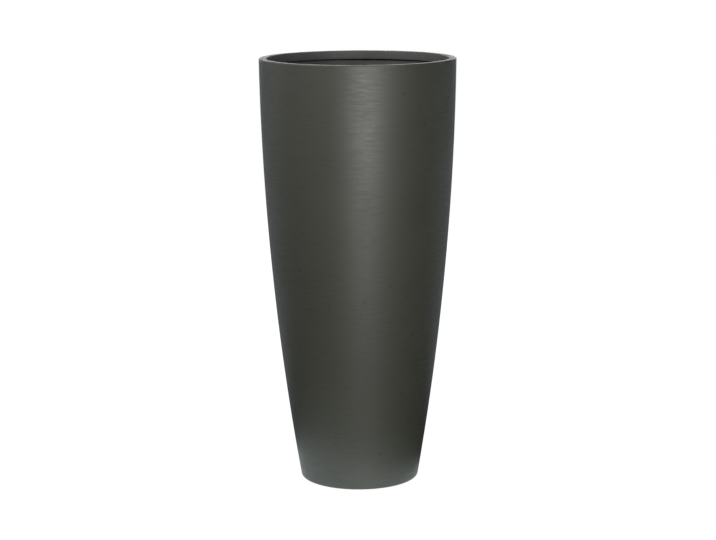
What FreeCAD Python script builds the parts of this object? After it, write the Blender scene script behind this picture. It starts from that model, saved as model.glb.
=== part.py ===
import FreeCAD
import Part
import math
import os

# A tall tapered planter of moulded fibreglass, open at the top.
#
# The wall is one turned shell. Its outside follows a circular arc that is almost upright at the rim
# and leans in towards a narrower foot. At the top the wall turns in to a flat rim, and a return ring
# is bonded under that rim. At the foot the wall turns in to a ring that carries four rubber feet. A
# base plate with a drain hole sits on the foot ring and is taped to the wall. A rubber plug closes
# the drain hole. A ribbed and perforated shelf rests on four cleats and lifts out through the rim.
#
# Millimetres and degrees. +Z is up, and the origin is on the floor at the middle of the four feet.

# The pot's outside.
HEIGHT = 800.0  # floor to the top of the rim
RIM_RADIUS = 183.0  # outside of the rim
FOOT_RADIUS = 110.5  # where the outside arc would meet the floor
WALL_BOW = 15.9  # how far the wall swells past a straight cone, half way up
WALL = 6.0  # thickness of the moulded wall

# The rim and the return bonded under it.
RIM_WIDTH = 14.0  # the flat top of the rim
RIM_THICKNESS = 6.0  # the wall's turned-in top
RETURN_DEPTH = 16.5  # from the top of the rim to the underside of the return
RIM_EDGE = 2.0  # rounding of the rim's two top edges
RETURN_EDGE = 1.5  # rounding of the return's lower edge

# The foot ring.
FOOT_THICKNESS = 6.0  # the wall's turned-in foot
FOOT_RING_WIDTH = 28.0  # from the outside of the foot to the ring's hole
FOOT_EDGE = 6.0  # rounding where the wall turns under
FOOT_HOLE_EDGE = 1.5  # rounding of the ring's hole, underneath

# The rubber feet.
PAD_COUNT = 4
PAD_RADIUS = 9.0
PAD_HEIGHT = 2.5
PAD_EDGE = 0.8  # rounding of the edge that meets the floor
PAD_TURN = 45.0  # degrees from +X to the first foot

# The base plate and the tape that holds it.
PLATE_THICKNESS = 8.0
DRAIN_RADIUS = 12.0
DRAIN_EDGE = 1.0  # rounding of the drain hole's two edges
TAPE_LEG = 26.0  # how far the tape runs up the wall and over the plate
TAPE_THICKNESS = 2.0
TAPE_COVE = 7.0  # radius of the tape's hollow inner corner

# The drain plug.
PLUG_CLEARANCE = 0.1  # between the stem and the drain hole, and under the head
PLUG_HEAD_RADIUS = 18.0
PLUG_HEAD_THICKNESS = 3.5
PLUG_HEAD_EDGE = 1.4
PLUG_TIP = 3.5  # how far the stem reaches below the plate
PLUG_TIP_EDGE = 1.5
PLUG_BORE_RADIUS = 7.0  # the stem is hollow from below
PLUG_SKIN = 3.0  # rubber left above the hollow
PLUG_GRIP_LENGTH = 22.0
PLUG_GRIP_THICKNESS = 5.0
PLUG_GRIP_HEIGHT = 13.0
PLUG_GRIP_CORNER = 5.0
PLUG_GRIP_EYE = 3.5  # radius of the hole through the grip

# The shelf that lifts out.
PLANTING_DEPTH = 300.0  # from the top of the rim to the shelf
SHELF_CLEARANCE = 3.0  # all round, to the wall and to the return
SHELF_THICKNESS = 5.0
SHELF_SKIRT_DEPTH = 20.0  # from the shelf's top to the lower edge of its skirt
SHELF_SKIRT_THICKNESS = 5.0
SHELF_EDGE = 3.0  # rounding of the shelf's outer top edge
SHELF_SKIRT_EDGE = 1.0
SHELF_HOLE_EDGE = 1.0
SHELF_CENTRE_RADIUS = 14.0  # the middle drain hole
FINGER_RADIUS = 17.0
FINGER_OFFSET = 96.0  # from the axis to the middle of a finger hole
SEEP_RADIUS = 5.0  # of each small drain hole
INNER_SEEP_RING = 50.0  # radius of the inner ring of drain holes
INNER_SEEP_COUNT = 8
OUTER_SEEP_RING = 132.0
OUTER_SEEP_COUNT = 16
RIB_COUNT = 8  # straight ribs under the shelf, from its hub to its skirt
RIB_THICKNESS = 3.0
RIB_STEP = 4.0  # how far the ribs stay above the lower edge of the skirt

# The cleats that carry the shelf.
CLEAT_COUNT = 4
CLEAT_WIDTH = 40.0
CLEAT_REACH = 22.0  # from the wall towards the axis
CLEAT_HEIGHT = 34.0
CLEAT_NOSE = 10.0  # height of the cleat's inner face
CLEAT_EDGE = 2.0
SEAT_GAP = 0.2  # between the cleats and the shelf that rests on them

OUTPUT = "parts"
NEAR = 0.01  # an edge is picked by a size that it matches this closely


def point(radius, height):
    """A point of the section, which lies in the XZ plane."""
    return FreeCAD.Vector(radius, 0, height)


def wall_circle():
    """Centre radius, centre height and radius of the circle that the outside of the wall follows."""
    middle = (RIM_RADIUS + FOOT_RADIUS) / 2 + WALL_BOW
    circle = Part.Circle(point(RIM_RADIUS, HEIGHT), point(middle, HEIGHT / 2), point(FOOT_RADIUS, 0))
    return circle.Center.x, circle.Center.z, circle.Radius


ARC_X, ARC_Z, ARC_RADIUS = wall_circle()


def wall_radius(height, depth=0.0):
    """Distance from the axis to a face that lies this deep in the wall, at this height."""
    return ARC_X + math.sqrt((ARC_RADIUS - depth) ** 2 - (height - ARC_Z) ** 2)


def line(start, end):
    return Part.makeLine(point(*start), point(*end))


def wall_arc(low, high, depth):
    """The stretch of the wall's arc between two heights, this deep in the wall."""
    middle = (low + high) / 2
    ends = [point(wall_radius(z, depth), z) for z in (low, middle, high)]
    return Part.Arc(*ends).toShape()


def turned(edges):
    """The solid that a closed section makes when it turns about the axis."""
    face = Part.Face(Part.Wire(edges))
    solid = face.revolve(FreeCAD.Vector(0, 0, 0), FreeCAD.Vector(0, 0, 1), 360)
    return Part.Solid(solid) if solid.ShapeType != "Solid" else solid


def ring_edges(solid, radius, height):
    """The solid's circular edges about the axis with this radius at this height."""
    found = []
    for edge in solid.Edges:
        curve = edge.Curve
        if not isinstance(curve, Part.Circle):
            continue
        level = abs(curve.Center.z - height) < NEAR
        centred = math.hypot(curve.Center.x, curve.Center.y) < NEAR
        if level and centred and abs(curve.Radius - radius) < NEAR:
            found.append(edge)
    return found


def rounded(solid, size, *rings):
    """The solid with the ring edges at these radii and heights rounded to this size."""
    edges = [edge for ring in rings for edge in ring_edges(solid, *ring)]
    return solid.makeFillet(size, edges)


def around(shape, count, start=0.0):
    """Copies of a shape, evenly spaced about the axis from this angle in degrees."""
    copies = []
    for number in range(count):
        copy = shape.copy()
        copy.rotate(FreeCAD.Vector(0, 0, 0), FreeCAD.Vector(0, 0, 1), start + 360 / count * number)
        copies.append(copy)
    return copies


# Heights and radii that several pieces share.
FOOT_BOTTOM = PAD_HEIGHT
FOOT_TOP = FOOT_BOTTOM + FOOT_THICKNESS
FOOT_OUTSIDE = wall_radius(FOOT_BOTTOM)
FOOT_HOLE = FOOT_OUTSIDE - FOOT_RING_WIDTH
PLATE_TOP = FOOT_TOP + PLATE_THICKNESS
RIM_HOLE = RIM_RADIUS - RIM_WIDTH
RIM_UNDERSIDE = HEIGHT - RIM_THICKNESS
RETURN_BOTTOM = HEIGHT - RETURN_DEPTH
SHELF_TOP = HEIGHT - PLANTING_DEPTH
SHELF_BOTTOM = SHELF_TOP - SHELF_SKIRT_DEPTH
SHELF_RADIUS = min(wall_radius(SHELF_BOTTOM, WALL), RIM_HOLE) - SHELF_CLEARANCE
CLEAT_TOP = SHELF_BOTTOM - SEAT_GAP


def pot_wall():
    """The moulded shell: the wall, its turned-in rim and its turned-in foot."""
    solid = turned(
        [
            line((FOOT_HOLE, FOOT_BOTTOM), (FOOT_OUTSIDE, FOOT_BOTTOM)),
            wall_arc(FOOT_BOTTOM, HEIGHT, 0),
            line((RIM_RADIUS, HEIGHT), (RIM_HOLE, HEIGHT)),
            line((RIM_HOLE, HEIGHT), (RIM_HOLE, RIM_UNDERSIDE)),
            line((RIM_HOLE, RIM_UNDERSIDE), (wall_radius(RIM_UNDERSIDE, WALL), RIM_UNDERSIDE)),
            wall_arc(RIM_UNDERSIDE, FOOT_TOP, WALL),
            line((wall_radius(FOOT_TOP, WALL), FOOT_TOP), (FOOT_HOLE, FOOT_TOP)),
            line((FOOT_HOLE, FOOT_TOP), (FOOT_HOLE, FOOT_BOTTOM)),
        ]
    )
    solid = rounded(solid, FOOT_EDGE, (FOOT_OUTSIDE, FOOT_BOTTOM))
    solid = rounded(solid, FOOT_HOLE_EDGE, (FOOT_HOLE, FOOT_BOTTOM))
    return rounded(solid, RIM_EDGE, (RIM_RADIUS, HEIGHT), (RIM_HOLE, HEIGHT))


def rim_return():
    """The ring bonded under the rim, which makes the lip look as deep as it is wide."""
    top = (wall_radius(RIM_UNDERSIDE, WALL), RIM_UNDERSIDE)
    bottom = (wall_radius(RETURN_BOTTOM, WALL), RETURN_BOTTOM)
    solid = turned(
        [
            line(bottom, (RIM_HOLE, RETURN_BOTTOM)),
            line((RIM_HOLE, RETURN_BOTTOM), (RIM_HOLE, RIM_UNDERSIDE)),
            line((RIM_HOLE, RIM_UNDERSIDE), top),
            wall_arc(RIM_UNDERSIDE, RETURN_BOTTOM, WALL),
        ]
    )
    return rounded(solid, RETURN_EDGE, (RIM_HOLE, RETURN_BOTTOM))


def base_plate():
    """The plate that closes the foot. Its edge follows the wall, and its middle has the drain."""
    bottom = (wall_radius(FOOT_TOP, WALL), FOOT_TOP)
    top = (wall_radius(PLATE_TOP, WALL), PLATE_TOP)
    solid = turned(
        [
            line((DRAIN_RADIUS, FOOT_TOP), bottom),
            wall_arc(FOOT_TOP, PLATE_TOP, WALL),
            line(top, (DRAIN_RADIUS, PLATE_TOP)),
            line((DRAIN_RADIUS, PLATE_TOP), (DRAIN_RADIUS, FOOT_TOP)),
        ]
    )
    return rounded(solid, DRAIN_EDGE, (DRAIN_RADIUS, FOOT_TOP), (DRAIN_RADIUS, PLATE_TOP))


def corner_tape():
    """The glass tape laminated over the joint between the base plate and the wall."""
    tape_top = PLATE_TOP + TAPE_LEG
    outer_corner = (wall_radius(PLATE_TOP, WALL), PLATE_TOP)
    plate_end = outer_corner[0] - TAPE_LEG
    over_plate = PLATE_TOP + TAPE_THICKNESS
    cove_x = wall_radius(over_plate + TAPE_COVE, WALL + TAPE_THICKNESS) - TAPE_COVE
    cove_z = over_plate + TAPE_COVE
    slant = math.sqrt(0.5) * TAPE_COVE
    cove = Part.Arc(
        point(cove_x, over_plate),
        point(cove_x + slant, cove_z - slant),
        point(cove_x + TAPE_COVE, cove_z),
    )
    return turned(
        [
            line((plate_end, PLATE_TOP), outer_corner),
            wall_arc(PLATE_TOP, tape_top, WALL),
            line(
                (wall_radius(tape_top, WALL), tape_top),
                (wall_radius(tape_top, WALL + TAPE_THICKNESS), tape_top),
            ),
            wall_arc(tape_top, cove_z, WALL + TAPE_THICKNESS),
            cove.toShape(),
            line((cove_x, over_plate), (plate_end, over_plate)),
            line((plate_end, over_plate), (plate_end, PLATE_TOP)),
        ]
    )


def feet():
    """The rubber feet under the flat of the foot ring, in order about the axis."""
    inner = FOOT_HOLE + FOOT_HOLE_EDGE
    outer = FOOT_OUTSIDE - FOOT_EDGE
    pad = Part.makeCylinder(PAD_RADIUS, PAD_HEIGHT)
    floor_edge = [edge for edge in pad.Edges if edge.BoundBox.ZMax < NEAR]
    pad = pad.makeFillet(PAD_EDGE, floor_edge)
    pad.translate(FreeCAD.Vector((inner + outer) / 2, 0, 0))
    return around(pad, PAD_COUNT, PAD_TURN)


def drain_plug():
    """The rubber stopper: a flat head, a hollow stem through the plate, and a grip with an eye."""
    stem = DRAIN_RADIUS - PLUG_CLEARANCE
    head_bottom = PLATE_TOP + PLUG_CLEARANCE
    head_top = head_bottom + PLUG_HEAD_THICKNESS
    tip = FOOT_TOP - PLUG_TIP
    hollow_top = head_top - PLUG_SKIN
    solid = turned(
        [
            line((PLUG_BORE_RADIUS, tip), (stem, tip)),
            line((stem, tip), (stem, head_bottom)),
            line((stem, head_bottom), (PLUG_HEAD_RADIUS, head_bottom)),
            line((PLUG_HEAD_RADIUS, head_bottom), (PLUG_HEAD_RADIUS, head_top)),
            line((PLUG_HEAD_RADIUS, head_top), (0, head_top)),
            line((0, head_top), (0, hollow_top)),
            line((0, hollow_top), (PLUG_BORE_RADIUS, hollow_top)),
            line((PLUG_BORE_RADIUS, hollow_top), (PLUG_BORE_RADIUS, tip)),
        ]
    )
    solid = rounded(solid, PLUG_HEAD_EDGE, (PLUG_HEAD_RADIUS, head_top))
    solid = rounded(solid, PLUG_TIP_EDGE, (stem, tip))
    return solid.fuse(plug_grip(head_top)).removeSplitter()


def plug_grip(base):
    """The upright tab on the plug's head, with rounded shoulders and an eye for a finger or hook."""
    sunk = PLUG_SKIN / 2
    tab = Part.makeBox(PLUG_GRIP_LENGTH, PLUG_GRIP_THICKNESS, PLUG_GRIP_HEIGHT + sunk)
    tab.translate(FreeCAD.Vector(-PLUG_GRIP_LENGTH / 2, -PLUG_GRIP_THICKNESS / 2, base - sunk))
    top = tab.BoundBox.ZMax
    shoulders = [
        edge
        for edge in tab.Edges
        if edge.BoundBox.ZMin > top - NEAR and edge.BoundBox.XLength < NEAR
    ]
    tab = tab.makeFillet(PLUG_GRIP_CORNER, shoulders)
    eye_height = base + PLUG_GRIP_HEIGHT / 2
    eye = Part.makeCylinder(
        PLUG_GRIP_EYE,
        2 * PLUG_GRIP_THICKNESS,
        FreeCAD.Vector(0, -PLUG_GRIP_THICKNESS, eye_height),
        FreeCAD.Vector(0, 1, 0),
    )
    return tab.cut(eye)


def planting_shelf():
    """The shelf: a flat disc with a skirt that stiffens it, drain holes and two finger holes."""
    under = SHELF_TOP - SHELF_THICKNESS
    skirt_inside = SHELF_RADIUS - SHELF_SKIRT_THICKNESS
    solid = turned(
        [
            line((0, under), (skirt_inside, under)),
            line((skirt_inside, under), (skirt_inside, SHELF_BOTTOM)),
            line((skirt_inside, SHELF_BOTTOM), (SHELF_RADIUS, SHELF_BOTTOM)),
            line((SHELF_RADIUS, SHELF_BOTTOM), (SHELF_RADIUS, SHELF_TOP)),
            line((SHELF_RADIUS, SHELF_TOP), (0, SHELF_TOP)),
            line((0, SHELF_TOP), (0, under)),
        ]
    )
    solid = rounded(solid, SHELF_EDGE, (SHELF_RADIUS, SHELF_TOP))
    solid = rounded(
        solid, SHELF_SKIRT_EDGE, (SHELF_RADIUS, SHELF_BOTTOM), (skirt_inside, SHELF_BOTTOM)
    )
    solid = solid.fuse(shelf_ribs(skirt_inside)).removeSplitter()
    solid = solid.cut(shelf_holes())
    mouths = [edge for edge in solid.Edges if is_hole_mouth(edge)]
    return solid.makeFillet(SHELF_HOLE_EDGE, mouths)


def shelf_ribs(skirt_inside):
    """The hub round the middle hole and the straight ribs from it to the skirt, as one solid."""
    bottom = SHELF_BOTTOM + RIB_STEP
    depth = SHELF_TOP - SHELF_THICKNESS / 2 - bottom
    hub = Part.makeCylinder(
        SHELF_CENTRE_RADIUS + 2 * RIB_THICKNESS, depth, FreeCAD.Vector(0, 0, bottom)
    )
    reach = skirt_inside + SHELF_SKIRT_THICKNESS / 2
    rib = Part.makeBox(
        reach, RIB_THICKNESS, depth, FreeCAD.Vector(0, -RIB_THICKNESS / 2, bottom)
    )
    return hub.multiFuse(around(rib, RIB_COUNT, 180 / RIB_COUNT))


def shelf_holes():
    """All the holes through the shelf as one shape to cut away."""
    def drill(radius, offset):
        start = FreeCAD.Vector(offset, 0, SHELF_BOTTOM)
        return Part.makeCylinder(radius, 2 * SHELF_SKIRT_DEPTH, start)

    holes = [drill(SHELF_CENTRE_RADIUS, 0)]
    holes += around(drill(FINGER_RADIUS, FINGER_OFFSET), 2)
    holes += around(drill(SEEP_RADIUS, INNER_SEEP_RING), INNER_SEEP_COUNT)
    holes += around(drill(SEEP_RADIUS, OUTER_SEEP_RING), OUTER_SEEP_COUNT, 180 / OUTER_SEEP_COUNT)
    return Part.Compound(holes)


def is_hole_mouth(edge):
    """Whether an edge is the upper edge of one of the shelf's holes."""
    if not isinstance(edge.Curve, Part.Circle):
        return False
    at_top = abs(edge.Curve.Center.z - SHELF_TOP) < NEAR
    return at_top and edge.Curve.Radius <= max(FINGER_RADIUS, SHELF_CENTRE_RADIUS) + NEAR


def cleats():
    """The blocks bonded to the wall that the shelf rests on, in order about the axis."""
    bottom = CLEAT_TOP - CLEAT_HEIGHT
    outside = wall_radius(CLEAT_TOP, 0)
    nose = wall_radius(CLEAT_TOP, WALL) - CLEAT_REACH
    side = Part.Wire(
        Part.makePolygon(
            [
                point(outside, CLEAT_TOP),
                point(nose, CLEAT_TOP),
                point(nose, CLEAT_TOP - CLEAT_NOSE),
                point(wall_radius(bottom, WALL) - CLEAT_EDGE, bottom),
                point(outside, bottom),
                point(outside, CLEAT_TOP),
            ]
        ).Edges
    )
    block = Part.Face(side).extrude(FreeCAD.Vector(0, CLEAT_WIDTH, 0))
    block.translate(FreeCAD.Vector(0, -CLEAT_WIDTH / 2, 0))
    nose_edges = [
        edge
        for edge in block.Edges
        if edge.BoundBox.XMax < nose + NEAR and edge.BoundBox.YLength < NEAR
    ]
    block = block.makeFillet(CLEAT_EDGE, nose_edges)
    block = block.common(inside_of_wall(bottom - CLEAT_HEIGHT, CLEAT_TOP + CLEAT_HEIGHT))
    return around(block.Solids[0], CLEAT_COUNT)


def inside_of_wall(low, high):
    """The space inside the wall between two heights, as a solid."""
    return turned(
        [
            line((0, low), (wall_radius(low, WALL), low)),
            wall_arc(low, high, WALL),
            line((wall_radius(high, WALL), high), (0, high)),
            line((0, high), (0, low)),
        ]
    )


def write(name, solid):
    """One solid in its own file, named after its node."""
    if not solid.isValid() or len(solid.Solids) != 1:
        raise ValueError(f"{name} is not one valid solid")
    solid.Solids[0].exportStep(os.path.join(OUTPUT, name + ".step"))
    box = solid.BoundBox
    print(f"{name}: {solid.Volume / 1000:.1f} cm3, z {box.ZMin:.1f} to {box.ZMax:.1f}")


def main():
    os.makedirs(OUTPUT, exist_ok=True)
    write("pot_wall", pot_wall())
    write("rim_return", rim_return())
    write("base_plate", base_plate())
    write("corner_tape", corner_tape())
    write("drain_plug", drain_plug())
    write("planting_shelf", planting_shelf())
    for number, pad in enumerate(feet(), 1):
        write(f"foot_pad_{number}", pad)
    for number, cleat in enumerate(cleats(), 1):
        write(f"shelf_cleat_{number}", cleat)


main()
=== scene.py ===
# %% [markdown]
# # A tall fibreglass planter
#
# This scene rebuilds a tall, dark planter that narrows towards its foot. The construction model
# gives the frame: where every piece sits, and how it moves. Here each piece is modelled again
# with softer edges and a real finish, and it rides on the body that carries it.

# %% Load the construction model
import math

import bpy
from mathutils import Matrix, Vector


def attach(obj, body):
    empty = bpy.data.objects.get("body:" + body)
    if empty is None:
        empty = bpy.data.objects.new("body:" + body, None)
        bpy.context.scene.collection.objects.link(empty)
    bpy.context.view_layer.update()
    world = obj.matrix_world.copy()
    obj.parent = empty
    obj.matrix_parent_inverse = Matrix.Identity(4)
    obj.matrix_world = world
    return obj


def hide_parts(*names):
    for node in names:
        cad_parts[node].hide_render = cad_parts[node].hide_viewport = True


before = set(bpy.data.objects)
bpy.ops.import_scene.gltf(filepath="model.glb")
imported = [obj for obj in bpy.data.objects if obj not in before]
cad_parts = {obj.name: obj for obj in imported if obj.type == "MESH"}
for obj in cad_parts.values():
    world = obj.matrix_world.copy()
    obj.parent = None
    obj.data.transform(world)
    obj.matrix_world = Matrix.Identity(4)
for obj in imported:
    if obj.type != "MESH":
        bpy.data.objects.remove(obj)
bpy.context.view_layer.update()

# %% [markdown]
# ## The sizes
#
# All lengths are in metres. The outside of the wall follows one large circle, so its radius at
# any height can be worked out instead of being listed. The inside of the wall follows the same
# circle, one wall thickness deeper. The modelled skin stays a tenth of a millimetre inside the
# construction model, so that the small waves added to it later can't stand out of it.

# %% Sizes of the pot
HEIGHT = 0.800
RIM_RADIUS = 0.183
WALL = 0.006
RIM_WIDTH = 0.014
RIM_THICKNESS = 0.006
RETURN_DEPTH = 0.0165
FOOT_BOTTOM = 0.0025
FOOT_TOP = 0.0085
FOOT_HOLE = 0.08293
FOOT_CORNER = 0.10586  # radius of the ring that the foot's rounding is centred on
FOOT_ROUNDING = 0.006
RIM_ROUNDING = 0.002
LOWER_EDGE = 0.0015  # rounding of the foot's hole and of the return's lower edge
PLATE_TOP = 0.0165
DRAIN_RADIUS = 0.012

ARC_X = -4.91807  # centre of the wall's circle, seen in the XZ plane
ARC_Z = 0.85900
ARC_RADIUS = 5.10141

SKIN = 0.0001


def wall_radius(height, depth=0.0):
    """Distance from the axis to a face that lies this deep in the wall, at this height."""
    return ARC_X + math.sqrt((ARC_RADIUS - depth) ** 2 - (height - ARC_Z) ** 2)


for height in (0.0, 0.4, 0.8):
    print(f"outside radius {height:.1f} m up: {wall_radius(height):.4f} m")

# %% [markdown]
# ## Turned shapes
#
# Nearly every piece of this planter is round, so it's made as on a lathe. Half of its section
# is drawn as a chain of points, and the chain is spun once round the axis. The alternative, a
# cylinder with loops moved in and out, gives the same mesh but hides the section in a list of
# scale factors. Curved stretches of the section come from two small helpers.


# %% Stretches of a section
def arc(centre, radius, start, end, steps):
    """Points on a circle in the section, from one angle in degrees to another."""
    angles = [math.radians(start + (end - start) * step / steps) for step in range(steps + 1)]
    return [
        (centre[0] + radius * math.cos(angle), centre[1] + radius * math.sin(angle))
        for angle in angles
    ]


def wall_line(low, high, depth, steps):
    """Points along the wall between two heights, this deep in it."""
    heights = [low + (high - low) * step / steps for step in range(steps + 1)]
    return [(wall_radius(height, depth), height) for height in heights]


def between(start, end, steps):
    """Points on a straight stretch of the section, without its two ends."""
    shares = [step / steps for step in range(1, steps)]
    return [tuple(a + (b - a) * share for a, b in zip(start, end)) for share in shares]


# %% [markdown]
# A chain is drawn by merging a tiny plane into one point and extruding that point again and
# again. A section that starts and ends on the axis spins into a closed disc. Any other section
# is closed with one more edge first, so that it spins into a ring. The spin leaves a double
# seam, which is merged, and only then are the normals turned outwards.


# %% Spin a section into a piece
def only(piece):
    """Make this the one selected object."""
    bpy.ops.object.select_all(action="DESELECT")
    piece.select_set(True)
    bpy.context.view_layer.objects.active = piece


def soften(piece, angle=35):
    """Shade smooth, but keep the edges that are sharper than this angle in degrees."""
    only(piece)
    bpy.ops.object.shade_smooth_by_angle(angle=math.radians(angle))


def turned(name, section, steps=192):
    """The closed solid that a section makes when it is spun round the axis."""
    (radius, height), closed = section[0], section[0][0] > 1e-6
    bpy.ops.object.select_all(action="DESELECT")
    bpy.ops.mesh.primitive_plane_add(size=0.001, location=(radius, 0, height))
    piece = bpy.context.object
    piece.name = name
    bpy.ops.object.transform_apply(location=True, rotation=True, scale=True)
    bpy.ops.object.mode_set(mode="EDIT")
    bpy.ops.mesh.select_all(action="SELECT")
    bpy.ops.mesh.merge(type="CENTER")
    for (r0, z0), (r1, z1) in zip(section, section[1:]):
        bpy.ops.mesh.extrude_region_move(TRANSFORM_OT_translate={"value": (r1 - r0, 0, z1 - z0)})
    if closed:
        bpy.ops.object.mode_set(mode="OBJECT")
        piece.data.vertices[0].select = True
        bpy.ops.object.mode_set(mode="EDIT")
        bpy.ops.mesh.edge_face_add()
    bpy.ops.mesh.select_all(action="SELECT")
    bpy.ops.mesh.spin(steps=steps, angle=2 * math.pi, center=(0, 0, 0), axis=(0, 0, 1))
    bpy.ops.mesh.select_all(action="SELECT")
    bpy.ops.mesh.remove_doubles(threshold=0.000002)
    bpy.ops.mesh.normals_make_consistent(inside=False)
    bpy.ops.object.mode_set(mode="OBJECT")
    soften(piece)
    print(f"{name}: {len(piece.data.polygons)} faces")
    return piece


def use(piece, body, node):
    """Let a piece ride on a body and stand for a node, whose own part is hidden."""
    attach(piece, body)
    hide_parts(node)


# %% [markdown]
# ## The moulded wall
#
# The wall, the flat rim and the turned-in foot are one moulding, so they are one section. It
# runs from the hole in the foot, under the foot, up the outside, over the rim and down the
# inside. The rim's two edges have a radius of two millimetres and the foot's corner one of six,
# as the bright line on the rim and the round corner in the photo show.

# %% Draw and spin the wall
rim_hole = RIM_RADIUS - RIM_WIDTH + SKIN
under_rim = HEIGHT - RIM_THICKNESS
edge_height = HEIGHT - RIM_ROUNDING - SKIN

foot_hole_edge = arc(
    (FOOT_HOLE + LOWER_EDGE, FOOT_BOTTOM + LOWER_EDGE), LOWER_EDGE, 180, 270, 4
)
foot_corner = arc((FOOT_CORNER, FOOT_TOP), FOOT_ROUNDING - SKIN, -90, -9.6, 10)
outside = [(radius - SKIN, height) for radius, height in wall_line(0.0105, 0.7975, 0, 64)]
outer_edge = arc((RIM_RADIUS - RIM_ROUNDING - SKIN, edge_height), RIM_ROUNDING, 4, 90, 7)
inner_edge = arc((rim_hole + RIM_ROUNDING, edge_height), RIM_ROUNDING, 90, 180, 7)
inside = wall_line(under_rim, FOOT_TOP, WALL, 28)

wall_section = [(FOOT_HOLE, FOOT_TOP), (FOOT_HOLE, 0.006)] + foot_hole_edge
wall_section += between(foot_hole_edge[-1], foot_corner[0], 4) + foot_corner
wall_section += outside + outer_edge + between(outer_edge[-1], inner_edge[0], 4) + inner_edge
wall_section += [(rim_hole, under_rim)] + between((rim_hole, under_rim), inside[0], 3) + inside
wall_section += between(inside[-1], (FOOT_HOLE, FOOT_TOP), 3)
wall = turned("Wall", wall_section, steps=256)

# %% [markdown]
# A laminated wall is never quite even. A displacement by soft clouds pushes the surface inwards
# by up to a fifth of a millimetre, which only shows as a slight unrest in the reflections. The
# texture's middle level is 1, so nothing moves outwards. It's applied, so the mesh itself
# carries the waves.

# %% Make the wall slightly uneven
WAVE_LENGTH = 0.09
WAVE_DEPTH = 0.0002

clouds = bpy.data.textures.new("HandLaidWaves", "CLOUDS")
clouds.noise_scale = WAVE_LENGTH
waves = wall.modifiers.new("Waves", "DISPLACE")
waves.texture = clouds
waves.texture_coords = "LOCAL"
waves.mid_level = 1.0
waves.strength = WAVE_DEPTH
only(wall)
bpy.ops.object.modifier_apply(modifier=waves.name)
soften(wall)
use(wall, "pot", "pot_wall")

# %% [markdown]
# ## The return under the rim
#
# Seen from above, the lip is deeper than the moulding is thick, and its lower edge throws a
# thin dark line on the wall behind it. A separate ring under the rim makes that depth. Its
# lower edge is only lightly rounded, so that the shadow under it starts sharply.

# %% Draw and spin the return
return_bottom = HEIGHT - RETURN_DEPTH
return_edge = arc((rim_hole + LOWER_EDGE, return_bottom + LOWER_EDGE), LOWER_EDGE, 180, 270, 6)
return_section = [(rim_hole, under_rim), (rim_hole, under_rim - 0.004)] + return_edge
return_section += between(return_edge[-1], (wall_radius(return_bottom, WALL), return_bottom), 3)
return_section += wall_line(return_bottom, under_rim, WALL, 3)
rim_return = turned("RimReturn", return_section, steps=256)
use(rim_return, "pot", "rim_return")

# %% [markdown]
# ## The base plate and its tape
#
# The foot is closed by a round plate with a drain hole. A strip of glass tape covers the joint
# between plate and wall. It lies on both and runs round the inner corner in a small hollow,
# because glass cloth can't follow a sharp corner.

# %% Draw and spin the base plate
MOUTH = 0.001  # rounding of the drain hole's two edges

plate_foot = (wall_radius(FOOT_TOP, WALL), FOOT_TOP)
plate_head = (wall_radius(PLATE_TOP, WALL), PLATE_TOP)
lower_mouth = arc((DRAIN_RADIUS + MOUTH, FOOT_TOP + MOUTH), MOUTH, 180, 270, 4)
upper_mouth = arc((DRAIN_RADIUS + MOUTH, PLATE_TOP - MOUTH), MOUTH, 90, 180, 4)
plate_section = lower_mouth + between(lower_mouth[-1], plate_foot, 8)
plate_section += wall_line(FOOT_TOP, PLATE_TOP, WALL, 3)
plate_section += between(plate_head, upper_mouth[0], 8) + upper_mouth
base_plate = turned("BasePlate", plate_section, steps=128)
use(base_plate, "pot", "base_plate")

# %% Draw and spin the tape
TAPE_LEG = 0.026
TAPE_THICKNESS = 0.002
TAPE_COVE = 0.007
tape_top = PLATE_TOP + TAPE_LEG
over_plate = PLATE_TOP + TAPE_THICKNESS
cove_z = over_plate + TAPE_COVE
cove_x = wall_radius(cove_z, WALL + TAPE_THICKNESS) - TAPE_COVE
tape_end = plate_head[0] - TAPE_LEG

tape_section = [(tape_end, PLATE_TOP)] + between((tape_end, PLATE_TOP), plate_head, 6)
tape_section += wall_line(PLATE_TOP, tape_top, WALL, 6)
tape_section += wall_line(tape_top - 0.0006, cove_z + 0.001, WALL + TAPE_THICKNESS, 6)
tape_section += arc((cove_x, cove_z), TAPE_COVE, 0, -90, 8)
tape_section += between((cove_x, over_plate), (tape_end + 0.0008, over_plate), 6)
tape_section += [(tape_end + 0.0008, over_plate), (tape_end + 0.0001, over_plate - 0.0009)]
corner_tape = turned("CornerTape", tape_section, steps=160)
use(corner_tape, "pot", "corner_tape")

# %% [markdown]
# ## The rubber feet
#
# Four short rubber feet lift the pot off the floor, so that water can run out of the drain. The
# photo shows no bumps along the foot, so they taper towards the floor and stay behind its edge.
# One is modelled, moved to its place on the flat of the foot, and copied a quarter turn at a
# time. The moves are made in edit mode, so each foot's origin stays on the pot's axis.


# %% Copies round the axis
def copied_round(piece, name, degrees):
    """A copy of a piece with its own mesh, turned about the pot's axis."""
    only(piece)
    bpy.ops.object.duplicate()
    copy = bpy.context.object
    copy.name = name
    bpy.ops.object.mode_set(mode="EDIT")
    bpy.ops.mesh.select_all(action="SELECT")
    bpy.ops.transform.rotate(
        value=math.radians(degrees), orient_axis="Z", center_override=(0, 0, 0)
    )
    bpy.ops.object.mode_set(mode="OBJECT")
    return copy


def moved(piece, x, y):
    """Move a piece's mesh and leave its origin where it is."""
    only(piece)
    bpy.ops.object.mode_set(mode="EDIT")
    bpy.ops.mesh.select_all(action="SELECT")
    bpy.ops.transform.translate(value=(x, y, 0))
    bpy.ops.object.mode_set(mode="OBJECT")


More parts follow.
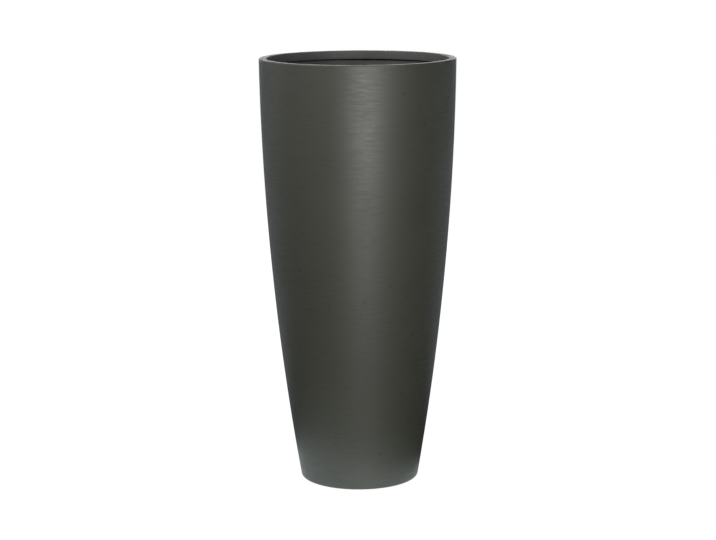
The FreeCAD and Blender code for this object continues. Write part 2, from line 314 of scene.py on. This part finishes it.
# %% Model one foot and copy it
PAD_RADIUS = 0.009
PAD_TIP = 0.0056
PAD_EDGE = 0.0006
PAD_RING = 0.003  # a ring of points on both flat ends, which keeps their faces even

pad_section = [(0, 0), (PAD_RING, 0)]
pad_section += arc((PAD_TIP - PAD_EDGE, PAD_EDGE), PAD_EDGE, -90, -35, 5)
pad_section += [(PAD_RADIUS, FOOT_BOTTOM), (PAD_RING, FOOT_BOTTOM), (0, FOOT_BOTTOM)]
first_foot = turned("Foot1", pad_section, steps=64)
foot_circle = (FOOT_HOLE + LOWER_EDGE + FOOT_CORNER) / 2
moved(first_foot, foot_circle * math.cos(math.pi / 4), foot_circle * math.sin(math.pi / 4))
feet = [first_foot]
for number in (1, 2, 3):
    feet.append(copied_round(first_foot, f"Foot{number + 1}", 90 * number))
for number, foot in enumerate(feet, 1):
    use(foot, "pot", f"foot_pad_{number}")
print("feet on a circle of", round(foot_circle, 4), "m")

# %% [markdown]
# ## The drain plug
#
# The plug is one piece of rubber: a flat head, a hollow stem that fills the drain hole, and an
# upright tab with an eye to pull it by. The head and stem are turned. The tab is a block with
# two rounded shoulders, drilled and then merged with the head by booleans, because a tab can't
# be turned. A last small bevel rounds the edges where they meet. Smooth shading would let such
# narrow roundings smear over the flat faces beside them, so those pieces get weighted normals.


# %% Helpers for blocks and booleans
def block(low, high):
    """A box from one corner to the other."""
    bpy.ops.object.select_all(action="DESELECT")
    middle = [(a + b) / 2 for a, b in zip(low, high)]
    bpy.ops.mesh.primitive_cube_add(size=1, location=middle)
    made = bpy.context.object
    made.scale = [b - a for a, b in zip(low, high)]
    bpy.ops.object.transform_apply(location=True, rotation=True, scale=True)
    return made


def combine(piece, tool, operation):
    """Apply a boolean to a piece and remove the shape that it was made with."""
    modifier = piece.modifiers.new("Combine", "BOOLEAN")
    modifier.operation = operation
    modifier.solver = "EXACT"
    modifier.object = tool
    only(piece)
    bpy.ops.object.modifier_apply(modifier=modifier.name)
    bpy.data.objects.remove(tool)


def round_edges(piece, width, segments, angle):
    """Bevel every edge that is sharper than this angle in degrees."""
    modifier = piece.modifiers.new("Edges", "BEVEL")
    modifier.width = width
    modifier.segments = segments
    modifier.limit_method = "ANGLE"
    modifier.angle_limit = math.radians(angle)
    only(piece)
    bpy.ops.object.modifier_apply(modifier=modifier.name)


def keep_flat(piece):
    """Shade large flat faces as flat, also where they meet rounded edges and holes."""
    modifier = piece.modifiers.new("Flat", "WEIGHTED_NORMAL")
    modifier.keep_sharp = True
    only(piece)
    bpy.ops.object.modifier_apply(modifier=modifier.name)


# %% Turn the head and the stem
PLUG_GAP = 0.0001
HEAD_RADIUS = 0.018
HEAD_THICKNESS = 0.0035
HOLLOW_RADIUS = 0.007
HOLLOW_CHAMFER = 0.0012
SHARP, SOFT = 0.0005, 0.0014  # roundings of the head's lower and upper edge
TIP_ROUNDING = 0.0015

stem = DRAIN_RADIUS - PLUG_GAP
head_bottom = PLATE_TOP + PLUG_GAP
head_top = head_bottom + HEAD_THICKNESS
hollow_top = head_top - 0.003
tip = FOOT_TOP - 0.0035

plug_section = [
    (0, hollow_top),
    (HOLLOW_RADIUS - HOLLOW_CHAMFER, hollow_top),
    (HOLLOW_RADIUS, hollow_top - HOLLOW_CHAMFER),
]
plug_section += arc((HOLLOW_RADIUS + SHARP, tip + SHARP), SHARP, 180, 270, 3)
plug_section += arc((stem - TIP_ROUNDING, tip + TIP_ROUNDING), TIP_ROUNDING, -90, 0, 6)
plug_section += [(stem, head_bottom)]
plug_section += arc((HEAD_RADIUS - SHARP, head_bottom + SHARP), SHARP, -90, 0, 3)
plug_section += arc((HEAD_RADIUS - SOFT, head_top - SOFT), SOFT, 0, 90, 6)
plug_section += [(0.010, head_top), (0, head_top)]
plug = turned("DrainPlug", plug_section, steps=96)

# %% Make the tab and merge it with the head
TAB_HALF_WIDTH = 0.011
TAB_THICKNESS = 0.005
TAB_HEIGHT = 0.013
EYE_RADIUS = 0.0035

tab = block(
    (-TAB_HALF_WIDTH, -TAB_THICKNESS / 2, head_top - 0.0015),
    (TAB_HALF_WIDTH, TAB_THICKNESS / 2, head_top + TAB_HEIGHT),
)
for edge in tab.data.edges:
    a, b = (tab.data.vertices[index].co for index in edge.vertices)
    edge.select = min(a.z, b.z) > head_top and abs(a.y - b.y) > 0.8 * TAB_THICKNESS
for face in tab.data.polygons:
    face.select = False
for vertex in tab.data.vertices:
    vertex.select = False
bpy.ops.object.mode_set(mode="EDIT")
bpy.ops.mesh.select_mode(type="EDGE")
bpy.ops.mesh.bevel(offset=0.005, segments=8, affect="EDGES")
bpy.ops.mesh.select_mode(type="VERT")
bpy.ops.object.mode_set(mode="OBJECT")
bpy.ops.mesh.primitive_cylinder_add(
    vertices=40,
    radius=EYE_RADIUS,
    depth=0.02,
    location=(0, 0, head_top + TAB_HEIGHT / 2),
    rotation=(math.pi / 2, 0, 0),
)
combine(tab, bpy.context.object, "DIFFERENCE")
combine(plug, tab, "UNION")
round_edges(plug, width=0.0005, segments=2, angle=60)
soften(plug, 40)
keep_flat(plug)
use(plug, "plug", "drain_plug")
print("plug:", len(plug.data.polygons), "faces, top at", round(head_top + TAB_HEIGHT, 4), "m")

# %% [markdown]
# ## The planting shelf
#
# A plastic shelf carries the plant part way down, so that the deep foot needn't be filled with
# soil. It's a disc with a skirt, stiffened from below by a hub and eight straight ribs. The
# disc is turned, and the ribs are four long blocks merged with the hub and then with the disc.

# %% Turn the disc and its skirt
SHELF_TOP = 0.500
SHELF_BOTTOM = 0.480
SHELF_UNDER = 0.495
SHELF_RADIUS = 0.16023
SKIRT_THICKNESS = 0.005
SHELF_EDGE = 0.003
SMALL_EDGE = 0.001

skirt_inside = SHELF_RADIUS - SKIRT_THICKNESS
shelf_edge = arc((SHELF_RADIUS - SHELF_EDGE, SHELF_TOP - SHELF_EDGE), SHELF_EDGE, 0, 90, 8)
skirt_bottom = SHELF_BOTTOM + SMALL_EDGE
shelf_section = [(0, SHELF_UNDER)] + between((0, SHELF_UNDER), (skirt_inside, SHELF_UNDER), 3)
shelf_section += [
    (skirt_inside - SMALL_EDGE, SHELF_UNDER),
    (skirt_inside, SHELF_UNDER - SMALL_EDGE),
]
shelf_section += arc((skirt_inside + SMALL_EDGE, skirt_bottom), SMALL_EDGE, 180, 270, 4)
shelf_section += arc((SHELF_RADIUS - SMALL_EDGE, skirt_bottom), SMALL_EDGE, -90, 0, 4)
shelf_section += shelf_edge + between(shelf_edge[-1], (0, SHELF_TOP), 3) + [(0, SHELF_TOP)]
shelf = turned("Shelf", shelf_section, steps=144)

# %% Merge the hub and the ribs with it
HUB_RADIUS = 0.020
RIB_THICKNESS = 0.003
HUB_CHAMFER = 0.0005

rib_low, rib_high = SHELF_BOTTOM + 0.004, SHELF_BOTTOM + 0.0175
hub_section = [
    (0, rib_low),
    (HUB_RADIUS - HUB_CHAMFER, rib_low),
    (HUB_RADIUS, rib_low + HUB_CHAMFER),
    (HUB_RADIUS, rib_high),
    (0, rib_high),
]
hub = turned("Hub", hub_section, steps=64)
reach = skirt_inside + 0.002
for number in range(4):
    rib = block((-reach, -RIB_THICKNESS / 2, rib_low), (reach, RIB_THICKNESS / 2, rib_high))
    only(rib)
    bpy.ops.transform.rotate(
        value=math.radians(22.5 + 45 * number), orient_axis="Z", center_override=(0, 0, 0)
    )
    bpy.ops.object.transform_apply(rotation=True)
    combine(hub, rib, "UNION")
combine(shelf, hub, "UNION")

# %% [markdown]
# Water seeps through a ring of eight and a ring of sixteen small holes and through a wider one
# in the middle. Two large ones take a finger each to lift the shelf out. Each size of hole has
# one cutting pin with a flared top, which leaves a rounded mouth. The pins are copied round,
# joined, and cut away in a single boolean, which is faster and cleaner than 27 of them.


# %% Cut the holes
def pin(name, radius, offset, steps):
    """A cutting pin that stands off the axis and flares where it leaves the shelf's top."""
    section = [(0, SHELF_BOTTOM - 0.01), (radius, SHELF_BOTTOM - 0.01)]
    section += arc((radius + SMALL_EDGE, SHELF_TOP - SMALL_EDGE), SMALL_EDGE, 180, 90, 4)
    section += [(radius + 0.0012, SHELF_TOP + 0.002), (0, SHELF_TOP + 0.002)]
    made = turned(name, section, steps=steps)
    moved(made, offset, 0)
    return made


MIDDLE_HOLE = 0.014
FINGER_HOLE, FINGER_RING = 0.017, 0.096
SEEP_HOLE, INNER_RING, OUTER_RING = 0.005, 0.050, 0.132

pins = [pin("Middle", MIDDLE_HOLE, 0, 48)]
finger = pin("Finger", FINGER_HOLE, FINGER_RING, 56)
pins += [finger, copied_round(finger, "Finger2", 180)]
inner_seep = pin("InnerSeep", SEEP_HOLE, INNER_RING, 28)
pins += [inner_seep] + [copied_round(inner_seep, "Seep", 45 * turn) for turn in range(1, 8)]
outer_seep = pin("OuterSeep", SEEP_HOLE, OUTER_RING, 28)
pins += [copied_round(outer_seep, "Seep", 11.25 + 22.5 * turn) for turn in range(16)]
bpy.data.objects.remove(outer_seep)
bpy.ops.object.select_all(action="DESELECT")
for cutter in pins:
    cutter.select_set(True)
bpy.context.view_layer.objects.active = pins[0]
bpy.ops.object.join()
combine(shelf, bpy.context.object, "DIFFERENCE")
soften(shelf, 40)
keep_flat(shelf)
use(shelf, "shelf", "planting_shelf")
print("shelf:", len(shelf.data.polygons), "faces with", len(pins), "holes")

# %% [markdown]
# ## The cleats
#
# The shelf rests on four laminated blocks that are bonded to the inside of the wall. A block is
# cut across below its nose, its lower inner edge is drawn back to the wall, and its edges are
# rounded. Then it's trimmed by the turned inside of the pot, so that its back follows the wall.

# %% Model one cleat and copy it
CLEAT_TOP = SHELF_BOTTOM - 0.0002
CLEAT_LOW = CLEAT_TOP - 0.034
CLEAT_DEPTH = 0.022
CLEAT_WIDTH = 0.040
NOSE_HEIGHT = 0.010
PAST_WALL = 0.175  # the block starts longer than it has to be and is trimmed later

nose = wall_radius(CLEAT_TOP, WALL) - CLEAT_DEPTH
cleat = block((nose, -CLEAT_WIDTH / 2, CLEAT_LOW), (PAST_WALL, CLEAT_WIDTH / 2, CLEAT_TOP))
cleat.name = "Cleat1"
bpy.ops.object.mode_set(mode="EDIT")
bpy.ops.mesh.select_all(action="SELECT")
bpy.ops.mesh.bisect(plane_co=(0, 0, CLEAT_TOP - NOSE_HEIGHT), plane_no=(0, 0, 1))
bpy.ops.object.mode_set(mode="OBJECT")
halfway = (nose + PAST_WALL) / 2
for vertex in cleat.data.vertices:
    vertex.select = vertex.co.z < CLEAT_LOW + 0.001 and vertex.co.x < halfway
bpy.ops.object.mode_set(mode="EDIT")
drawn_back = wall_radius(CLEAT_LOW, WALL) - 0.002 - nose
bpy.ops.transform.translate(value=(drawn_back, 0, 0))
bpy.ops.object.mode_set(mode="OBJECT")
round_edges(cleat, width=0.002, segments=4, angle=20)
core_low, core_high = 0.42, 0.50
core_section = [(0, core_low)] + wall_line(core_low, core_high, WALL, 6) + [(0, core_high)]
combine(cleat, turned("Core", core_section, steps=256), "INTERSECT")
soften(cleat)
keep_flat(cleat)
cleats = [cleat] + [copied_round(cleat, f"Cleat{turn + 1}", 90 * turn) for turn in (1, 2, 3)]
for number, piece in enumerate(cleats, 1):
    use(piece, "pot", f"shelf_cleat_{number}")
print("cleats reach in to", round(nose, 4), "m from the axis")

# %% [markdown]
# ## Finishes
#
# Every finish is a Principled shader fed by noise on the object's own coordinates, so it sits
# still on the piece and needs no unwrapping. Six helpers cover it. One starts a material, one
# makes noise that can be stretched along an axis, one maps a value to a new range, one does
# arithmetic on two values, one blends two colours by a value, and one turns a value into relief.


# %% Helpers for finishes
def finish(name):
    """A new material with its node tree and its shader."""
    material = bpy.data.materials.new(name)
    material.use_nodes = True
    tree = material.node_tree
    return material, tree, tree.nodes["Principled BSDF"]


def noise(tree, scale, detail=2.0, turn=0.0):
    """Noise with this many features to the metre along X, Y and Z, turned about Z."""
    place = tree.nodes.new("ShaderNodeTexCoord")
    mapping = tree.nodes.new("ShaderNodeMapping")
    mapping.vector_type = "TEXTURE" if turn else "POINT"
    if turn:
        mapping.inputs["Rotation"].default_value[2] = math.radians(turn)
        mapping.inputs["Scale"].default_value = [1 / value for value in scale]
    else:
        mapping.inputs["Scale"].default_value = scale
    texture = tree.nodes.new("ShaderNodeTexNoise")
    texture.inputs["Scale"].default_value = 1.0
    texture.inputs["Detail"].default_value = detail
    tree.links.new(place.outputs["Object"], mapping.inputs["Vector"])
    tree.links.new(mapping.outputs["Vector"], texture.inputs["Vector"])
    return texture.outputs["Fac"]


def remap(tree, value, low, high, to_low, to_high):
    """Map a value from one range to another and keep it inside the second."""
    node = tree.nodes.new("ShaderNodeMapRange")
    tree.links.new(value, node.inputs["Value"])
    for name, number in zip(
        ("From Min", "From Max", "To Min", "To Max"), (low, high, to_low, to_high)
    ):
        node.inputs[name].default_value = number
    return node.outputs["Result"]


def calculate(tree, operation, first, second):
    """One step of arithmetic on two values, either of which may be a plain number."""
    node = tree.nodes.new("ShaderNodeMath")
    node.operation = operation
    for socket, value in zip(node.inputs, (first, second)):
        if isinstance(value, (int, float)):
            socket.default_value = value
        else:
            tree.links.new(value, socket)
    return node.outputs[0]


def blend_colours(tree, factor, first, second):
    """Blend from the first colour to the second. Either may come from another node."""
    node = tree.nodes.new("ShaderNodeMix")
    node.data_type = "RGBA"
    tree.links.new(factor, node.inputs["Factor"])
    for socket, colour in ((node.inputs[6], first), (node.inputs[7], second)):
        if isinstance(colour, tuple):
            socket.default_value = (*colour, 1)
        else:
            tree.links.new(colour, socket)
    return node.outputs[2]


def relief(tree, height, depth, under=None):
    """Fine relief this many metres deep, on top of any relief under it."""
    node = tree.nodes.new("ShaderNodeBump")
    node.inputs["Strength"].default_value = 1.0
    node.inputs["Distance"].default_value = depth
    tree.links.new(height, node.inputs["Height"])
    if under is not None:
        tree.links.new(under, node.inputs["Normal"])
    return node.outputs["Normal"]


# %% [markdown]
# ## The outer finish
#
# The outside is a dark, slightly green filled composite with a satin surface. Close up it shows
# three things: broad soft mottling, short level streaks from being brushed or sanded round, and
# a few small dark specks. The streaks change colour and roughness together, so they show both
# in the shade and in the highlight.

# %% Paint the outer composite
skin, tree, shader = finish("CompositeSkin")
mottle = noise(tree, (11, 11, 11), 4)
streaks = noise(tree, (42, 42, 300), 3)
fine = noise(tree, (90, 90, 700), 2)
base = blend_colours(
    tree, remap(tree, mottle, 0.35, 0.65, 0, 1), (0.0262, 0.0275, 0.0196), (0.0318, 0.0330, 0.0243)
)
streaked = blend_colours(
    tree, remap(tree, streaks, 0.30, 0.70, 0, 0.55), base, (0.0405, 0.0415, 0.0330)
)

place = tree.nodes.new("ShaderNodeTexCoord")
cells = tree.nodes.new("ShaderNodeTexVoronoi")
cells.inputs["Scale"].default_value = 42
cells.inputs["Randomness"].default_value = 1.0
tree.links.new(place.outputs["Object"], cells.inputs["Vector"])
speck = remap(tree, cells.outputs["Distance"], 0.09, 0.20, 1, 0)
patchy = remap(tree, noise(tree, (23, 23, 23), 1), 0.50, 0.62, 0, 0.55)
specks = calculate(tree, "MULTIPLY", speck, patchy)
spotted = blend_colours(tree, specks, streaked, (0.0150, 0.0158, 0.0118))
tree.links.new(spotted, shader.inputs["Base Color"])

sheen = calculate(
    tree,
    "ADD",
    remap(tree, streaks, 0.30, 0.70, 0.545, 0.475),
    remap(tree, mottle, 0.35, 0.65, 0.015, -0.015),
)
tree.links.new(sheen, shader.inputs["Roughness"])
brushed = relief(tree, streaks, 0.00002)
grained = relief(tree, fine, 0.000008, brushed)
tree.links.new(grained, shader.inputs["Normal"])

# %% [markdown]
# ## The inside
#
# Inside, the composite isn't brushed or sealed. It's a neutral grey, rougher, and slightly
# lumpy from the roller. The wall carries both finishes: the faces of its inner side and those
# in the rim's hole take the second material.

# %% Paint the inside and give the wall both finishes
inner, tree, shader = finish("CompositeInside")
lumps = noise(tree, (60, 60, 60), 3)
cloudy = noise(tree, (14, 14, 20), 3)
base = blend_colours(
    tree, remap(tree, cloudy, 0.35, 0.65, 0, 1), (0.062, 0.062, 0.060), (0.086, 0.086, 0.083)
)
tree.links.new(base, shader.inputs["Base Color"])
tree.links.new(remap(tree, lumps, 0.3, 0.7, 0.52, 0.68), shader.inputs["Roughness"])
rolled = relief(tree, lumps, 0.00025)
pores = noise(tree, (500, 500, 500), 2)
tree.links.new(relief(tree, pores, 0.00004, rolled), shader.inputs["Normal"])

wall.data.materials.clear()
wall.data.materials.append(skin)
wall.data.materials.append(inner)
for face in wall.data.polygons:
    x, y, z = face.center
    middle = wall_radius(z, WALL / 2) if z < under_rim else 0
    in_hole = z > under_rim and math.hypot(x, y) < rim_hole + 0.0008
    is_inner = FOOT_TOP - 0.0001 < z and math.hypot(x, y) < middle
    face.material_index = 1 if in_hole or is_inner else 0
print("inner faces:", sum(face.material_index for face in wall.data.polygons))

# %% [markdown]
# ## The laminate
#
# The base plate, the tape and the cleats are hand laid: chopped strands of glass under resin.
# Strands are long and thin and lie in every direction, so five layers of strongly stretched
# noise, each turned by another angle, are combined by keeping the brightest of them.

# %% Paint the laminate
laminate, tree, shader = finish("Laminate")
strands = None
for turn in (8, 44, 80, 116, 152):
    layer = remap(tree, noise(tree, (45, 900, 60), 2, turn), 0.55, 0.72, 0, 1)
    strands = layer if strands is None else calculate(tree, "MAXIMUM", strands, layer)
pools = noise(tree, (25, 25, 25), 3)
resin = blend_colours(
    tree, remap(tree, pools, 0.35, 0.65, 0, 1), (0.050, 0.050, 0.043), (0.078, 0.077, 0.068)
)
fibred = blend_colours(tree, remap(tree, strands, 0, 1, 0, 0.6), resin, (0.150, 0.147, 0.130))
tree.links.new(fibred, shader.inputs["Base Color"])
tree.links.new(remap(tree, strands, 0, 1, 0.36, 0.55), shader.inputs["Roughness"])
pooled = relief(tree, pools, 0.0006)
tree.links.new(relief(tree, strands, 0.00015, pooled), shader.inputs["Normal"])

# %% [markdown]
# ## Plastic and rubber
#
# The shelf is black moulded plastic with a fine grain and a little dust. The plug and the feet
# are matte rubber, greyer where they have been handled. Both are nearly black, so what tells
# them apart is how sharply they reflect: the plastic at a roughness of about 0.45, the rubber
# at about 0.75.


# %% Paint the plastic and the rubber
def dark_finish(name, deep, dusty, rough, grain_size, grain_depth):
    """A nearly black finish with dust in patches, a roughness range and a fine grain."""
    material, tree, shader = finish(name)
    dust = noise(tree, (40, 40, 40), 5)
    colour = blend_colours(tree, remap(tree, dust, 0.40, 0.75, 0, 1), deep, dusty)
    tree.links.new(colour, shader.inputs["Base Color"])
    tree.links.new(remap(tree, dust, 0.35, 0.65, *rough), shader.inputs["Roughness"])
    grain = noise(tree, (grain_size, grain_size, grain_size), 2)
    tree.links.new(relief(tree, grain, grain_depth), shader.inputs["Normal"])
    return material


plastic = dark_finish(
    "ShelfPlastic", (0.0150, 0.0150, 0.0155), (0.0300, 0.0295, 0.0280), (0.40, 0.52), 1300, 0.00005
)
rubber = dark_finish(
    "Rubber", (0.0140, 0.0140, 0.0140), (0.0330, 0.0325, 0.0310), (0.68, 0.82), 800, 0.00004
)
painted = [(rim_return, inner), (shelf, plastic)]
painted += [(piece, laminate) for piece in (base_plate, corner_tape, *cleats)]
painted += [(piece, rubber) for piece in (plug, *feet)]
for piece, material in painted:
    piece.data.materials.clear()
    piece.data.materials.append(material)
print("painted", len(painted) + 1, "pieces")

# %% [markdown]
# ## Floor and surroundings
#
# The photo's background is pure white, but the pot hardly reflects any white except close to
# its foot and along its two edges, as if it stood on a small white board in a dark room with a
# lit floor behind it. So the floor is white to the camera, with a faint shadow. To reflections
# it glows in a slightly cool white, strongly near the foot and weakly behind the pot. The Light
# Path node tells the two kinds of ray apart. The world is white to the camera and nearly dark
# to everything else. Both need the same three nodes for that, so they share a helper.

# %% Make the floor
BOARD_RADIUS = 0.20
BOARD_GLOW = 1.3
BOARD_SHIFT = (0.055, 0.02, 0)  # the board lies this much to the left and to the front
BEHIND_GLOW = 0.45
ROOM_GLOW = 0.02
COOL_WHITE = (0.90, 1.0, 1.06, 1)
FLOOR_GREY = 0.12  # the part of the floor's white that the lamps light and a shadow darkens


def emptied(owner):
    """Turn an owner's nodes on and take away the ones that it starts with."""
    owner.use_nodes = True
    owner.node_tree.nodes.clear()
    return owner.node_tree


def split_by_ray(tree, output_type, to_others, to_camera):
    """Send one shader to the camera and another to all other rays."""
    output = tree.nodes.new(output_type)
    by_ray = tree.nodes.new("ShaderNodeMixShader")
    path = tree.nodes.new("ShaderNodeLightPath")
    tree.links.new(path.outputs["Is Camera Ray"], by_ray.inputs[0])
    tree.links.new(to_others.outputs[0], by_ray.inputs[1])
    tree.links.new(to_camera.outputs[0], by_ray.inputs[2])
    tree.links.new(by_ray.outputs[0], output.inputs[0])


bpy.ops.object.select_all(action="DESELECT")
bpy.ops.mesh.primitive_plane_add(size=80, location=(0, 0, 0))
floor = bpy.context.object
floor.name = "Floor"
floor_white = bpy.data.materials.new("FloorWhite")
tree = emptied(floor_white)
place = tree.nodes.new("ShaderNodeTexCoord")
shifted = tree.nodes.new("ShaderNodeVectorMath")
shifted.operation = "ADD"
shifted.inputs[1].default_value = BOARD_SHIFT
tree.links.new(place.outputs["Object"], shifted.inputs[0])
distance = tree.nodes.new("ShaderNodeVectorMath")
distance.operation = "LENGTH"
tree.links.new(shifted.outputs["Vector"], distance.inputs[0])
far = distance.outputs["Value"]
parts = tree.nodes.new("ShaderNodeSeparateXYZ")
tree.links.new(place.outputs["Object"], parts.inputs[0])

glow = tree.nodes.new("ShaderNodeEmission")
glow.inputs["Color"].default_value = COOL_WHITE
board = remap(tree, far, BOARD_RADIUS - 0.03, BOARD_RADIUS + 0.05, BOARD_GLOW, ROOM_GLOW)
behind = remap(tree, parts.outputs["Y"], 0.25, 0.5, 0, BEHIND_GLOW)
tree.links.new(calculate(tree, "ADD", board, behind), glow.inputs["Strength"])

white = tree.nodes.new("ShaderNodeEmission")
tree.links.new(remap(tree, far, 0.3, 1.6, 0.955, 1.0), white.inputs["Strength"])
shaded = tree.nodes.new("ShaderNodeBsdfDiffuse")
shaded.inputs["Color"].default_value = (FLOOR_GREY, FLOOR_GREY, FLOOR_GREY, 1)
seen = tree.nodes.new("ShaderNodeAddShader")
tree.links.new(white.outputs[0], seen.inputs[0])
tree.links.new(shaded.outputs[0], seen.inputs[1])
split_by_ray(tree, "ShaderNodeOutputMaterial", glow, seen)
floor.data.materials.append(floor_white)

# %% Make the world
world = bpy.data.worlds.new("Studio")
bpy.context.scene.world = world
tree = emptied(world)
room, backdrop = (tree.nodes.new("ShaderNodeBackground") for _ in range(2))
for light, strength in ((room, ROOM_GLOW), (backdrop, 1.0)):
    light.inputs["Color"].default_value = (1, 1, 1, 1)
    light.inputs["Strength"].default_value = strength
split_by_ray(tree, "ShaderNodeOutputWorld", room, backdrop)

# %% [markdown]
# ## Lamps
#
# All lamps are soft rectangles. They were tried one by one, and their levels were then chosen
# so that the bands across the wall match the photo. The main one stands low and slightly right
# of the camera and makes the long highlight, which fades downwards because the lower wall faces
# the floor more and more. Two higher ones reach over the rim to the lip at the back. Two on the
# left lift that side. A broad one behind lights the rim's flat top and both edges, and a weak
# one overhead shows the shelf inside.


# %% Set the lamps
LAMP_AIM = 0.5  # the height on the pot's axis that they point at


def lamp(name, azimuth, height, power, width=0.7, tall=0.7, away=3):
    """A soft lamp that faces the pot. Azimuth 0 is the camera's side and 90 is the right."""
    angle = math.radians(azimuth)
    place = (away * math.sin(angle), -away * math.cos(angle), height)
    bpy.ops.object.light_add(type="AREA", location=place)
    light = bpy.context.object
    light.name = name
    light.data.shape = "RECTANGLE"
    light.data.size = width
    light.data.size_y = tall
    light.data.energy = power
    back = Vector(place) - Vector((0, 0, LAMP_AIM))
    light.rotation_euler = back.to_track_quat("Z", "Y").to_euler()
    light.visible_camera = False


lamp("Main", 8, 0.6, 69, 0.9)
lamp("HighLeft", -44, 1.9, 25)
lamp("HighRight", 30, 1.9, 38)
lamp("SideHigh", -72, 2.0, 26)
lamp("Side", -108, 1.3, 12)
lamp("Backdrop", 180, 1.2, 42, 3.0, 1.2)
lamp("Overhead", 0, 2.6, 14, away=0.05)

# %% [markdown]
# ## Camera
#
# The photo looks down on the pot by about eleven degrees from 3.6 metres away. These values
# were found by laying the outline of the round pot over the photo: the ellipse of the rim gives
# the height of the eye, and the rows of the outline give the distance and the focal length,
# here in pixels of a picture 716 wide.

# %% Place the camera
DISTANCE = 3.63622
EYE = 1.08458
FOCAL = 1962.25
PITCH = 0.18601
ROLL = 0.00527
YAW = 0.00034
PICTURE_WIDTH = 716
SENSOR_WIDTH = 36

bpy.ops.object.camera_add()
camera = bpy.context.object
camera.data.sensor_width = SENSOR_WIDTH
camera.data.lens = SENSOR_WIDTH * FOCAL / PICTURE_WIDTH
camera.matrix_world = (
    Matrix.Translation((0, -DISTANCE, EYE))
    @ Matrix.Rotation(YAW, 4, "Z")
    @ Matrix.Rotation(math.pi / 2 - PITCH, 4, "X")
    @ Matrix.Rotation(-ROLL, 4, "Z")
)
bpy.context.scene.camera = camera
bpy.context.scene.view_settings.view_transform = "Standard"
